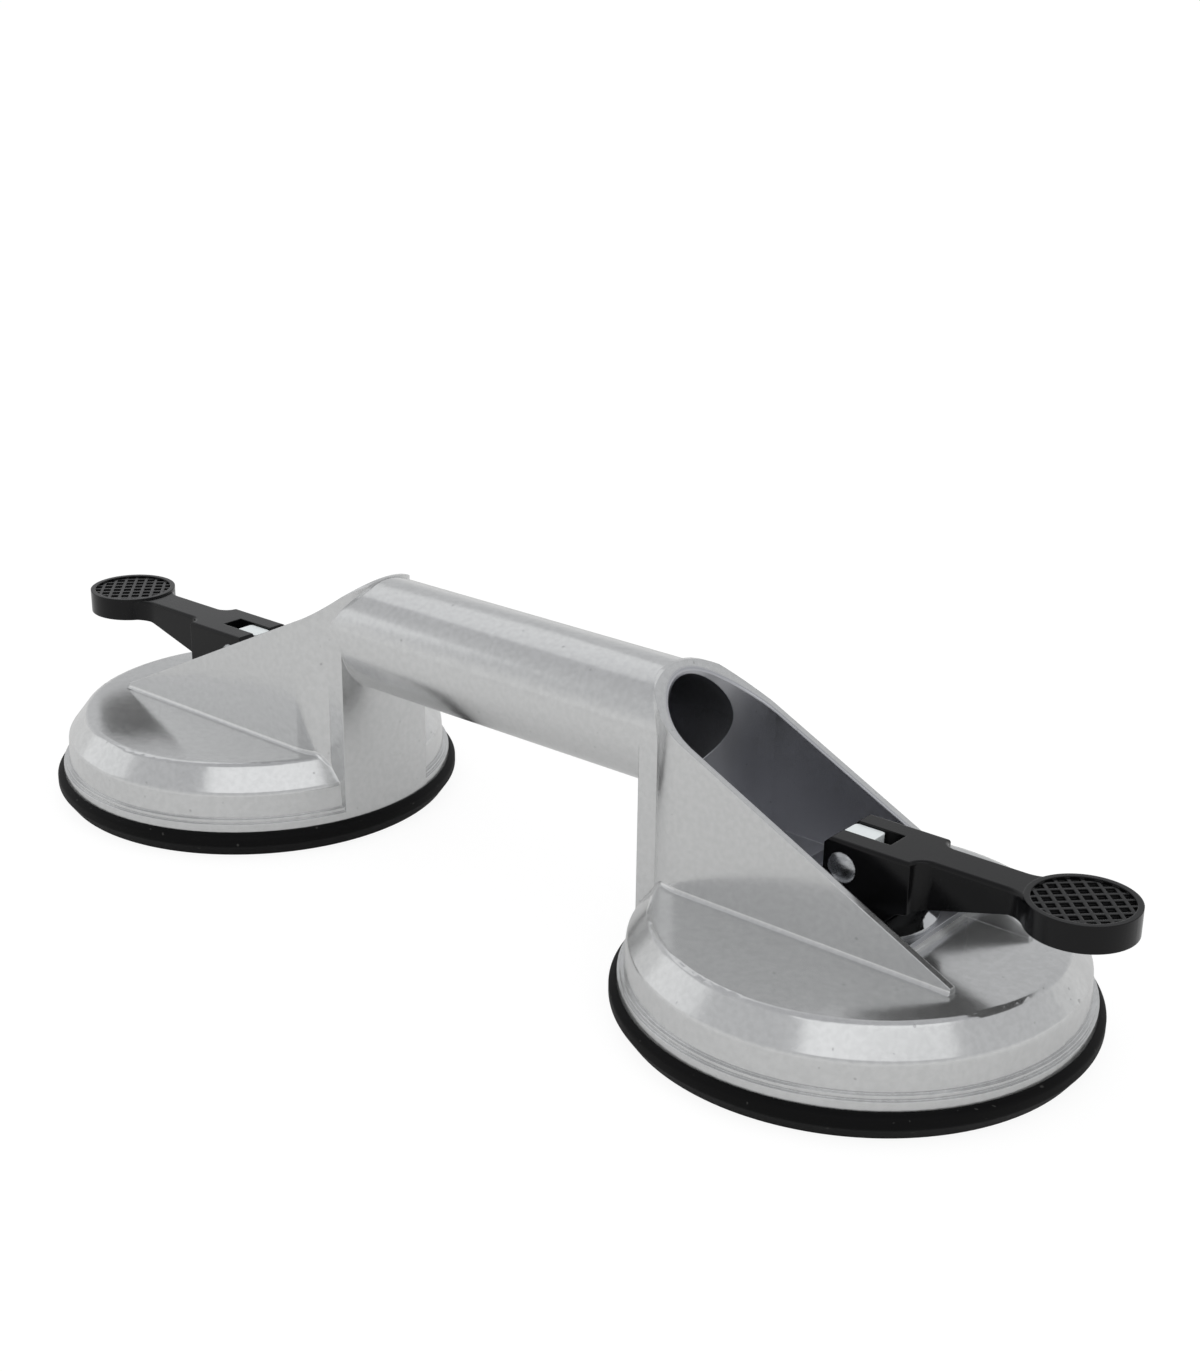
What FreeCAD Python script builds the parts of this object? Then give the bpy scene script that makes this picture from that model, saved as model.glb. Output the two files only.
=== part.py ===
# Two-cup suction lifter for floor tiles: one die-cast body with a tube handle, two rubber suction pads,
# and a cam lever over each pad that draws the middle of the rubber up through a square stem.
# +X runs along the handle and +Z is up. The origin lies under the middle of the handle, on the floor.
import FreeCAD, Part
import Sketcher
import math
import os
from types import SimpleNamespace

DRIVING = {
    # whole tool
    "cup_spacing": 208.0,
    # rubber pad
    "pad_radius": 57.5,
    "pad_height": 7.0,
    "pad_foot_radius": 55.0,
    "seal_width": 5.0,
    "dome_height": 6.5,
    "rubber_thickness": 2.7,
    "pad_shoulder": 1.7,
    # housing rim
    "rim_radius": 55.6,
    "rim_height": 2.3,
    "ridge_step": 0.7,
    "ridge_height": 1.1,
    "band_step": 0.9,
    "band_height": 6.8,
    "band_draft": 0.4,
    "cone_step": 5.2,
    "roof_height": 24.0,
    "shell_wall": 3.5,
    # hood over the lever, and the trough inside it
    "hood_half_width": 18.4,
    "hood_wall": 2.2,
    "hood_end_overhang": 0.8,
    "hood_crest": 15.7,
    "crown_radius": 26.0,
    "tip_inset": 13.4,
    "tip_height": 1.5,
    "brow_rise": 4.944,
    "brow_radius": 45.0,
    "brow_step": 2.5,
    "trough_end_step": 1.4,
    "shelf_height": 30.0,
    "shelf_reach": 19.4,
    "seat_height": 26.6,
    "seat_reach": 18.9,
    "mouth_edge_round": 0.6,
    "roof_edge_round": 2.0,
    "hood_foot_round": 1.2,
    "shoulder_edge_round": 2.0,
    # handle tube
    "tube_radius": 15.5,
    "tube_bore_radius": 12.7,
    "tube_height": 57.4,
    # stem, plate and rivet
    "stem_length": 8.0,
    "stem_width": 6.0,
    "stem_top": 45.3,
    "stem_corner": 1.0,
    "stem_clearance": 0.3,
    "boss_wall": 4.0,
    "boss_foot": 14.5,
    "plate_radius": 30.0,
    "plate_thickness": 2.0,
    "plate_gap": 0.3,
    "foot_radius": 6.5,
    "foot_thickness": 1.5,
    "rivet_radius": 2.5,
    "rivet_head_radius": 3.75,
    "rivet_head_height": 1.5,
    "rivet_clearance": 0.1,
    # return spring and its seat
    "spring_radius": 14.0,
    "spring_wire": 1.6,
    "spring_turns": 3.0,
    "spring_seat_thickness": 0.8,
    "spring_seat_overhang": 1.2,
    # wear washer
    "washer_radius": 18.4,
    "washer_thickness": 2.2,
    "washer_side_clearance": 0.3,
    "washer_edge": 1.0,
    # cam lever
    "cam_height": 10.6,
    "cam_stroke": 5.6,
    "cam_clearance": 0.15,
    "fork_half_width": 8.7,
    "fork_reach": 17.4,
    "fork_foot_reach": 11.2,
    "fork_bevel": 1.5,
    "fork_top": 6.4,
    "slot_clearance": 0.2,
    "slot_reach": 9.0,
    "arm_half_width": 5.0,
    "arm_root_depth": 7.0,
    "arm_end_depth": -0.3,
    "arm_end_reach": 40.0,
    "thumb_reach": 54.6,
    "thumb_radius": 12.5,
    "thumb_thickness": 6.4,
    "neck_round": 8.0,
    "arm_edge_round": 0.9,
    "thumb_recess": 1.0,
    "thumb_rim": 1.4,
    "rib_pitch": 3.0,
    "rib_width": 0.9,
    "rib_height": 0.6,
}

SIDES = {"right": 1, "left": -1}


class Size:
    """A length held twice: as a number, and as the spreadsheet expression that gives it."""

    def __init__(self, value, text):
        self.value = float(value)
        self.text = text

    @staticmethod
    def of(other):
        if isinstance(other, Size):
            return other
        return Size(other, repr(float(other)))

    def __add__(self, other):
        other = Size.of(other)
        return Size(self.value + other.value, f"({self.text} + {other.text})")

    def __radd__(self, other):
        return Size.of(other) + self

    def __sub__(self, other):
        other = Size.of(other)
        return Size(self.value - other.value, f"({self.text} - {other.text})")

    def __rsub__(self, other):
        return Size.of(other) - self

    def __mul__(self, other):
        other = Size.of(other)
        return Size(self.value * other.value, f"({self.text} * {other.text})")

    def __rmul__(self, other):
        return Size.of(other) * self

    def __truediv__(self, other):
        other = Size.of(other)
        return Size(self.value / other.value, f"({self.text} / {other.text})")

    def __neg__(self):
        return Size(-self.value, f"(0 - {self.text})")


def root(size):
    """Square root of a size that is an area."""
    return Size(math.sqrt(size.value), f"sqrt({size.text})")


doc = FreeCAD.newDocument("suction_lifter")
sheet = doc.addObject("Spreadsheet::Sheet", "sizes")
for row, (alias, number) in enumerate(DRIVING.items(), start=1):
    sheet.set(f"A{row}", alias)
    sheet.set(f"B{row}", repr(number))
    sheet.setAlias(f"B{row}", alias)
doc.recompute()

d = SimpleNamespace(**{alias: Size(number, f"sizes.{alias}") for alias, number in DRIVING.items()})

# heights and reaches that several pieces share, measured from the floor and from each cup's own axis
CUP_AXIS = d.cup_spacing / 2
RIM_TOP = d.pad_height + d.rim_height
RIDGE_TOP = RIM_TOP + d.ridge_height
BAND_TOP = RIDGE_TOP + d.band_height
RIDGE_RADIUS = d.rim_radius - d.ridge_step
BAND_RADIUS = RIDGE_RADIUS - d.band_step
CONE_RADIUS = BAND_RADIUS - d.band_draft
ROOF_RADIUS = CONE_RADIUS - d.cone_step
CEILING = d.roof_height - d.shell_wall
CAVITY_RADIUS = d.rim_radius - d.shell_wall
HOOD_TOP = d.tube_height + d.hood_crest
HOOD_ROUND_REACH = d.rim_radius + d.hood_end_overhang - d.hood_half_width
TROUGH_HALF_WIDTH = d.hood_half_width - d.hood_wall
TROUGH_ROUND_REACH = HOOD_ROUND_REACH - d.trough_end_step
TIP_REACH = ROOF_RADIUS - d.tip_inset
BROW_REACH = HOOD_ROUND_REACH + d.brow_step
MOUTH_TIP = d.roof_height + d.tip_height
BROW_HEIGHT = d.tube_height + d.brow_rise
MOUTH_SLOPE = (BROW_HEIGHT - MOUTH_TIP) / (TIP_REACH + BROW_REACH)
WASHER_TOP = d.seat_height + d.washer_thickness
PIN_HEIGHT = WASHER_TOP + d.cam_clearance + d.cam_height
PLATE_FOOT = d.dome_height + d.rubber_thickness + d.plate_gap
PLATE_TOP = PLATE_FOOT + d.plate_thickness
SEAT_FOOT = CEILING - d.spring_seat_thickness
CAM_RATE = d.cam_stroke / (math.pi / 2)
ABOVE = Size.of(10)
BITE = Size.of(0.5)
NEAR_ENOUGH = 0.05
STEPS_A_TURN = 16
WIRE_FLATS = 8
RIB_STEPS = (-3, -2, -1, 0, 1, 2, 3)
DIAGONAL = math.sqrt(0.5)


def new_body(label, side=0):
    """A body with its own label; side 1 or -1 stands it over the right or the left cup."""
    body = doc.addObject("PartDesign::Body", label)
    body.Label = label
    if side:
        body.Placement.Rotation = FreeCAD.Rotation(FreeCAD.Vector(0, 0, 1), 90 - 90 * side)
        body.setExpression("Placement.Base.x", (CUP_AXIS * side).text)
    return body


def origin_plane(body, role):
    """A link to one of the body's own origin planes."""
    return next(item for item in body.Origin.OriginFeatures if item.Role == role), [""]


def new_sketch(body, name, plane, **offset):
    """A sketch on one of the body's own origin planes, moved by the named offsets along its own axes."""
    sketch = body.newObject("Sketcher::SketchObject", name)
    sketch.AttachmentSupport = origin_plane(body, plane)
    sketch.MapMode = "FlatFace"
    for axis, size in offset.items():
        sketch.setExpression(f"AttachmentOffset.Base.{axis}", Size.of(size).text)
    return sketch


def hold(sketch, geometry, point, x, y):
    """Fix one point of a sketch at two bound distances from the sketch's origin."""
    for kind, size in (("DistanceX", x), ("DistanceY", y)):
        size = Size.of(size)
        index = sketch.addConstraint(Sketcher.Constraint(kind, -1, 1, geometry, point, size.value))
        sketch.setExpression(f"Constraints[{index}]", size.text)


def span(start, end, bend):
    """The line, or the arc of a given radius and side, from one corner to the next."""
    first = FreeCAD.Vector(Size.of(start[0]).value, Size.of(start[1]).value, 0)
    last = FreeCAD.Vector(Size.of(end[0]).value, Size.of(end[1]).value, 0)
    if bend is None:
        return Part.LineSegment(first, last), first
    radius, side = bend
    chord = last - first
    half = chord.Length / 2
    sagitta = radius.value - math.sqrt(max(radius.value ** 2 - half ** 2, 0))
    outward = FreeCAD.Vector(chord.y, -chord.x, 0).normalize() * side
    return Part.Arc(first, (first + last) / 2 + outward * sagitta, last), first


def outline(sketch, corners):
    """Close the corners into one outline. A corner is (x, y), or (x, y, (radius, side)) where an arc
    starts there: side 1 bulges to the right of the way round, and -1 to the left."""
    ends = []
    for corner, following in zip(corners, corners[1:] + corners[:1]):
        bend = corner[2] if len(corner) > 2 else None
        shape, first = span(corner, following, bend)
        index = sketch.addGeometry(shape, False)
        forward = sketch.getPoint(index, 1).isEqual(first, 1e-6)
        ends.append((index, 1, 2) if forward else (index, 2, 1))
        if bend is not None:
            row = sketch.addConstraint(Sketcher.Constraint("Radius", index, bend[0].value))
            sketch.setExpression(f"Constraints[{row}]", bend[0].text)
    for corner, before, here in zip(corners, ends[-1:] + ends[:-1], ends):
        sketch.addConstraint(Sketcher.Constraint("Coincident", before[0], before[2], here[0], here[1]))
        hold(sketch, here[0], here[1], corner[0], corner[1])


def circle(sketch, x, y, radius):
    """A full circle held at its centre."""
    x, y = Size.of(x), Size.of(y)
    centre = FreeCAD.Vector(x.value, y.value, 0)
    index = sketch.addGeometry(Part.Circle(centre, FreeCAD.Vector(0, 0, 1), radius.value), False)
    hold(sketch, index, 3, x, y)
    row = sketch.addConstraint(Sketcher.Constraint("Radius", index, radius.value))
    sketch.setExpression(f"Constraints[{row}]", radius.text)


def rectangle(sketch, left, right, low, high):
    """An upright rectangle between four bound distances."""
    outline(sketch, [(left, low), (right, low), (right, high), (left, high)])


def rounded_rectangle(sketch, half_length, half_width, corner):
    """An upright rectangle about the sketch's origin, with round corners."""
    inner_x, inner_y = half_length - corner, half_width - corner
    outline(sketch, [
        (-inner_x, -half_width),
        (inner_x, -half_width, (corner, 1)),
        (half_length, -inner_y),
        (half_length, inner_y, (corner, 1)),
        (inner_x, half_width),
        (-inner_x, half_width, (corner, 1)),
        (-half_length, inner_y),
        (-half_length, -inner_y, (corner, 1)),
    ])


def extrude(kind, name, sketch, length, both_ways=False, backwards=False):
    """A Pad or a Pocket of a sketch over a bound length."""
    body = sketch.getParentGeoFeatureGroup()
    feature = body.newObject(f"PartDesign::{kind}", name)
    feature.Profile = sketch
    feature.setExpression("Length", Size.of(length).text)
    feature.SideType = "Symmetric" if both_ways else "One side"
    feature.Reversed = backwards
    sketch.Visibility = False
    return feature


def turn(kind, name, sketch):
    """A full Revolution or Groove of a sketch about its own upright axis."""
    body = sketch.getParentGeoFeatureGroup()
    feature = body.newObject(f"PartDesign::{kind}", name)
    feature.Profile = sketch
    feature.ReferenceAxis = (sketch, ["V_Axis"])
    feature.Angle = 360
    return feature


def soften(body, name, radius, wanted):
    """Round those edges of the body's last shape that a test on the edge and its middle point accepts."""
    doc.recompute()
    last = body.Tip
    chosen = []
    for number, edge in enumerate(last.Shape.Edges, start=1):
        middle = edge.valueAt((edge.FirstParameter + edge.LastParameter) / 2)
        if wanted(edge, middle):
            chosen.append(f"Edge{number}")
    feature = body.newObject("PartDesign::Fillet", name)
    feature.Base = (last, chosen)
    feature.setExpression("Radius", radius.text)


def on(size, number):
    """Whether a measured distance is this size."""
    return abs(number - size.value) < NEAR_ENOUGH


def outward(point):
    """How far a point of the casting lies beyond its own cup's axis."""
    return abs(point.x) - CUP_AXIS.value


def on_long_round(half_width, round_reach, point):
    """Whether a point lies on an outline with long straight sides and one round end."""
    across = abs(point.y)
    if outward(point) > -round_reach.value:
        return on(half_width, across)
    return on(half_width, math.hypot(outward(point) + round_reach.value, across))


def on_circle(radius, height, point):
    """Whether a point lies on a level circle about its cup's axis."""
    return on(height, point.z) and on(radius, math.hypot(outward(point), point.y))


def make_body_casting():
    """The one-piece casting: two round housings, each with a scooped hood and a trough, and the tube."""
    body = new_body("body_casting")

    # tube handle, which ends inside the two round hood walls
    sketch = new_sketch(body, "tube_section", "YZ_Plane")
    circle(sketch, 0, d.tube_height, d.tube_radius)
    inside_the_hoods = CUP_AXIS - TROUGH_ROUND_REACH - TROUGH_HALF_WIDTH / 2
    extrude("Pad", "tube", sketch, 2 * inside_the_hoods, both_ways=True)

    # stepped rim, band, cone and flat roof of the housing
    sketch = new_sketch(body, "rim_outline", "XZ_Plane", x=CUP_AXIS)
    outline(sketch, [
        (0, d.pad_height),
        (d.rim_radius, d.pad_height),
        (d.rim_radius, RIM_TOP),
        (RIDGE_RADIUS, RIM_TOP),
        (RIDGE_RADIUS, RIDGE_TOP),
        (BAND_RADIUS, RIDGE_TOP),
        (CONE_RADIUS, BAND_TOP),
        (ROOF_RADIUS, d.roof_height),
        (0, d.roof_height),
    ])
    rim = turn("Revolution", "rim", sketch)

    # hood: long walls from the tip, closed by a round end that dies into the rim's own circle
    meet_x = -(d.rim_radius * d.rim_radius - d.hood_half_width * d.hood_half_width
               + HOOD_ROUND_REACH * HOOD_ROUND_REACH) / (2 * HOOD_ROUND_REACH)
    meet_y = root(d.rim_radius * d.rim_radius - meet_x * meet_x)
    sketch = new_sketch(body, "hood_plan", "XY_Plane", x=CUP_AXIS, z=CEILING + BITE)
    outline(sketch, [
        (TIP_REACH, -d.hood_half_width),
        (TIP_REACH, d.hood_half_width),
        (-HOOD_ROUND_REACH, d.hood_half_width, (d.hood_half_width, 1)),
        (meet_x, meet_y, (d.rim_radius, 1)),
        (meet_x, -meet_y, (d.hood_half_width, 1)),
        (-HOOD_ROUND_REACH, -d.hood_half_width),
    ])
    hood = extrude("Pad", "hood", sketch, HOOD_TOP - CEILING)

    # end wall under the tube, round with the rim
    chord = root(d.rim_radius * d.rim_radius - d.tube_radius * d.tube_radius)
    sketch = new_sketch(body, "end_wall_plan", "XY_Plane", x=CUP_AXIS, z=d.pad_height)
    outline(sketch, [
        (-HOOD_ROUND_REACH - BITE, -d.tube_radius),
        (-HOOD_ROUND_REACH - BITE, d.tube_radius),
        (-chord, d.tube_radius, (d.rim_radius, 1)),
        (-chord, -d.tube_radius),
    ])
    end_wall = extrude("Pad", "end_wall", sketch, d.tube_height - d.pad_height)

    # crown of the hood, arched across to lie close over the tube
    eave = d.hood_half_width + BITE
    eave_z = HOOD_TOP - d.crown_radius + root(d.crown_radius * d.crown_radius - eave * eave)
    sketch = new_sketch(body, "crown_outline", "YZ_Plane", z=CUP_AXIS)
    outline(sketch, [
        (-eave, eave_z),
        (-eave, HOOD_TOP + ABOVE),
        (eave, HOOD_TOP + ABOVE),
        (eave, eave_z, (d.crown_radius, 1)),
    ])
    crown = extrude("Pocket", "crown", sketch, 2 * d.rim_radius + ABOVE, both_ways=True)

    # scooped mouth: a straight slope from the tip that bends up to the crest over the tube
    steepness = root(1 + MOUTH_SLOPE * MOUTH_SLOPE)
    centre_x = -BROW_REACH + d.brow_radius * MOUTH_SLOPE / steepness
    centre_z = BROW_HEIGHT + d.brow_radius / steepness
    end_x = -d.rim_radius - BITE
    end_z = centre_z - root(d.brow_radius * d.brow_radius - (centre_x - end_x) * (centre_x - end_x))
    past_tip = TIP_REACH + ABOVE
    sketch = new_sketch(body, "mouth_outline", "XZ_Plane", x=CUP_AXIS)
    outline(sketch, [
        (past_tip, MOUTH_TIP),
        (past_tip, end_z + ABOVE),
        (end_x, end_z + ABOVE),
        (end_x, end_z, (d.brow_radius, 1)),
        (-BROW_REACH, BROW_HEIGHT),
        (TIP_REACH, MOUTH_TIP),
    ])
    mouth = extrude("Pocket", "mouth", sketch, d.hood_half_width * 2 + ABOVE, both_ways=True)

    # trough inside the hood: straight walls and a round end that opens into the tube's bore
    sketch = new_sketch(body, "trough_plan", "XY_Plane", x=CUP_AXIS, z=d.shelf_height)
    outline(sketch, [
        (past_tip, -TROUGH_HALF_WIDTH),
        (past_tip, TROUGH_HALF_WIDTH),
        (-TROUGH_ROUND_REACH, TROUGH_HALF_WIDTH, (TROUGH_HALF_WIDTH, 1)),
        (-TROUGH_ROUND_REACH - TROUGH_HALF_WIDTH, 0, (TROUGH_HALF_WIDTH, 1)),
        (-TROUGH_ROUND_REACH, -TROUGH_HALF_WIDTH),
    ])
    trough = extrude("Pocket", "trough", sketch, HOOD_TOP, backwards=True)

    # two steps down in the trough's floor: the seat of the wear washer, then the roof by the mouth
    steps_down = []
    levels = (("seat", -d.shelf_reach, d.seat_height), ("threshold", d.seat_reach, d.roof_height))
    for name, reach, floor in levels:
        sketch = new_sketch(body, f"{name}_plan", "XY_Plane", x=CUP_AXIS, z=floor)
        rectangle(sketch, reach, past_tip, -TROUGH_HALF_WIDTH, TROUGH_HALF_WIDTH)
        steps_down.append(extrude("Pocket", name, sketch, d.shelf_height - floor + BITE, backwards=True))

    # hollow underside with the stem's guide boss left standing
    boss_radius = d.stem_length / 2 + d.boss_wall
    inner_cone = CONE_RADIUS - d.shell_wall
    sketch = new_sketch(body, "underside_outline", "XZ_Plane", x=CUP_AXIS)
    outline(sketch, [
        (0, d.pad_height - BITE),
        (CAVITY_RADIUS, d.pad_height - BITE),
        (CAVITY_RADIUS, RIM_TOP),
        (inner_cone, BAND_TOP - BITE),
        (inner_cone - d.cone_step + BITE, CEILING),
        (boss_radius, CEILING),
        (boss_radius, d.boss_foot),
        (0, d.boss_foot),
    ])
    underside = turn("Groove", "underside", sketch)

    # square guide hole of the stem
    sketch = new_sketch(body, "stem_hole_outline", "XY_Plane", x=CUP_AXIS, z=d.boss_foot - BITE)
    half_length = d.stem_length / 2 + d.stem_clearance
    half_width = d.stem_width / 2 + d.stem_clearance
    rectangle(sketch, -half_length, half_length, -half_width, half_width)
    through_boss = d.seat_height - d.boss_foot + 2 * BITE
    stem_hole = extrude("Pocket", "stem_hole", sketch, through_boss, backwards=True)

    # the same housing at the other end
    other = body.newObject("PartDesign::Mirrored", "other_housing")
    other.Originals = [rim, hood, end_wall, crown, mouth, trough, *steps_down, underside, stem_hole]
    other.MirrorPlane = origin_plane(body, "YZ_Plane")
    body.Tip = other

    # the tube's bore runs right through into both troughs
    sketch = new_sketch(body, "bore_section", "YZ_Plane")
    circle(sketch, 0, d.tube_height, d.tube_bore_radius)
    extrude("Pocket", "bore", sketch, 2 * (CUP_AXIS - TROUGH_ROUND_REACH), both_ways=True)

    # cast edges
    soften(body, "mouth_edge", d.mouth_edge_round, lambda edge, middle:
           on_long_round(TROUGH_HALF_WIDTH, TROUGH_ROUND_REACH, middle)
           and min(edge.BoundBox.XLength, edge.BoundBox.ZLength) > BITE.value
           and not on(d.tube_bore_radius, math.hypot(middle.y, middle.z - d.tube_height.value)))
    soften(body, "roof_edge", d.roof_edge_round, lambda edge, middle:
           on_circle(ROOF_RADIUS, d.roof_height, middle))
    soften(body, "hood_foot", d.hood_foot_round, lambda edge, middle:
           on(d.roof_height, middle.z) and edge.Length > d.tip_height.value + d.hood_wall.value
           and on_long_round(d.hood_half_width, HOOD_ROUND_REACH, middle))
    soften(body, "shoulder_edge", d.shoulder_edge_round, lambda edge, middle:
           on_circle(CONE_RADIUS, BAND_TOP, middle))
    return body


def make_rubber_pad(place, side):
    """The rubber pad: bevelled edge, flat sealing lip and a domed middle, drawn up and locked."""
    body = new_body(f"rubber_pad_{place}", side)
    seal = d.pad_foot_radius - d.seal_width
    plate_edge = d.plate_radius + BITE
    edge_low = d.pad_height - 2 * d.pad_shoulder
    sketch = new_sketch(body, f"rubber_outline_{place}", "XZ_Plane")
    outline(sketch, [
        (0, d.dome_height),
        (plate_edge, d.dome_height),
        (seal, 0),
        (d.pad_foot_radius, 0),
        (d.pad_radius, edge_low),
        (d.pad_radius, d.pad_height - d.pad_shoulder / 2),
        (d.pad_radius - d.pad_shoulder, d.pad_height),
        (CAVITY_RADIUS - d.shell_wall, d.pad_height),
        (plate_edge, d.dome_height + d.rubber_thickness),
        (0, d.dome_height + d.rubber_thickness),
    ])
    turn("Revolution", f"rubber_{place}", sketch)
    return body


def make_pad_plate(place, side):
    """The steel plate in the middle of the rubber, which spreads the stem's pull."""
    body = new_body(f"pad_plate_{place}", side)
    sketch = new_sketch(body, f"plate_outline_{place}", "XY_Plane", z=PLATE_FOOT)
    circle(sketch, 0, 0, d.plate_radius)
    extrude("Pad", f"plate_{place}", sketch, d.plate_thickness)
    return body


def make_stem(place, side):
    """The square stem: round foot on the plate, and a cross hole for the lever's rivet."""
    body = new_body(f"stem_{place}", side)
    sketch = new_sketch(body, f"foot_outline_{place}", "XY_Plane", z=PLATE_TOP)
    circle(sketch, 0, 0, d.foot_radius)
    extrude("Pad", f"foot_{place}", sketch, d.foot_thickness)
    sketch = new_sketch(body, f"bar_outline_{place}", "XY_Plane", z=PLATE_TOP)
    rounded_rectangle(sketch, d.stem_length / 2, d.stem_width / 2, d.stem_corner)
    extrude("Pad", f"bar_{place}", sketch, d.stem_top - PLATE_TOP)
    sketch = new_sketch(body, f"cross_hole_outline_{place}", "XZ_Plane")
    circle(sketch, 0, PIN_HEIGHT, d.rivet_radius + d.rivet_clearance)
    extrude("Pocket", f"cross_hole_{place}", sketch, 2 * d.stem_width, both_ways=True)
    return body


def make_return_spring(place, side):
    """The coil that pushes the plate down when the lever is lifted; its wire has eight flats."""
    coil = doc.addObject("Part::Feature", f"return_spring_{place}")
    wire_radius = d.spring_wire.value / 2
    lowest = PLATE_TOP.value + wire_radius
    coil_height = SEAT_FOOT.value - PLATE_TOP.value - d.spring_wire.value
    steps = round(d.spring_turns.value * STEPS_A_TURN)
    sections = []
    for step in range(steps + 1):
        turned = 2 * math.pi * step / STEPS_A_TURN
        height = lowest + coil_height * step / steps
        corners = []
        for flat in range(WIRE_FLATS + 1):
            angle = 2 * math.pi * flat / WIRE_FLATS
            reach = d.spring_radius.value + wire_radius * math.cos(angle)
            corners.append(FreeCAD.Vector(reach * math.cos(turned), reach * math.sin(turned),
                                          height + wire_radius * math.sin(angle)))
        sections.append(Part.makePolygon(corners))
    coil.Shape = Part.makeLoft(sections, True, True)
    coil.Placement.Rotation = FreeCAD.Rotation(FreeCAD.Vector(0, 0, 1), 90 - 90 * side)
    coil.setExpression("Placement.Base.x", (CUP_AXIS * side).text)
    return coil


def make_spring_seat(place, side):
    """The thin washer between the coil and the casting's ceiling."""
    body = new_body(f"spring_seat_{place}", side)
    reach = d.spring_wire / 2 + d.spring_seat_overhang
    sketch = new_sketch(body, f"spring_seat_outline_{place}", "XY_Plane", z=SEAT_FOOT)
    circle(sketch, 0, 0, d.spring_radius + reach)
    circle(sketch, 0, 0, d.spring_radius - reach)
    extrude("Pad", f"ring_{place}", sketch, d.spring_seat_thickness)
    return body


def make_wear_washer(place, side):
    """The dished washer that the cams roll on, cut flat where it meets the trough's walls."""
    body = new_body(f"wear_washer_{place}", side)
    sketch = new_sketch(body, f"washer_outline_{place}", "XZ_Plane")
    outline(sketch, [
        (0, d.seat_height),
        (d.washer_radius, d.seat_height),
        (d.washer_radius, d.seat_height + d.washer_edge),
        (d.washer_radius - d.washer_thickness, WASHER_TOP),
        (0, WASHER_TOP),
    ])
    turn("Revolution", f"dish_{place}", sketch)
    flat = TROUGH_HALF_WIDTH - d.washer_side_clearance
    outside = d.washer_radius + ABOVE
    for name, low, high in (("near", -outside, -flat), ("far", flat, outside)):
        sketch = new_sketch(body, f"washer_{name}_flat_{place}", "XY_Plane", z=d.seat_height)
        rectangle(sketch, -outside, outside, low, high)
        extrude("Pocket", f"{name}_flat_{place}", sketch, 2 * d.washer_thickness, backwards=True)
    sketch = new_sketch(body, f"washer_hole_{place}", "XY_Plane", z=d.seat_height)
    half_length = d.stem_length / 2 + d.stem_clearance
    half_width = d.stem_width / 2 + d.stem_clearance
    rectangle(sketch, -half_length, half_length, -half_width, half_width)
    extrude("Pocket", f"square_hole_{place}", sketch, 2 * d.washer_thickness, backwards=True)
    return body


def make_pivot_rivet(place, side):
    """The domed rivet through the lever's ears and the stem."""
    body = new_body(f"pivot_rivet_{place}", side)
    crown = d.rivet_head_height
    dome = (d.rivet_head_radius * d.rivet_head_radius + crown * crown) / (2 * crown)
    ear = d.fork_half_width + d.rivet_clearance
    sketch = new_sketch(body, f"rivet_outline_{place}", "XY_Plane", z=PIN_HEIGHT)
    outline(sketch, [
        (0, -ear - crown, (dome, 1)),
        (d.rivet_head_radius, -ear),
        (d.rivet_radius, -ear),
        (d.rivet_radius, ear),
        (d.rivet_head_radius, ear, (dome, 1)),
        (0, ear + crown),
    ])
    turn("Revolution", f"rivet_{place}", sketch)
    return body


def cam_point(degrees):
    """A point of the cam, whose reach from the pin falls evenly as the lever is lifted."""
    angle = math.radians(degrees)
    reach = d.cam_height - CAM_RATE * angle
    x = CAM_RATE * math.cos(angle) - reach * math.sin(angle)
    z = -CAM_RATE * math.sin(angle) - reach * math.cos(angle)
    return x, z


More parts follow.
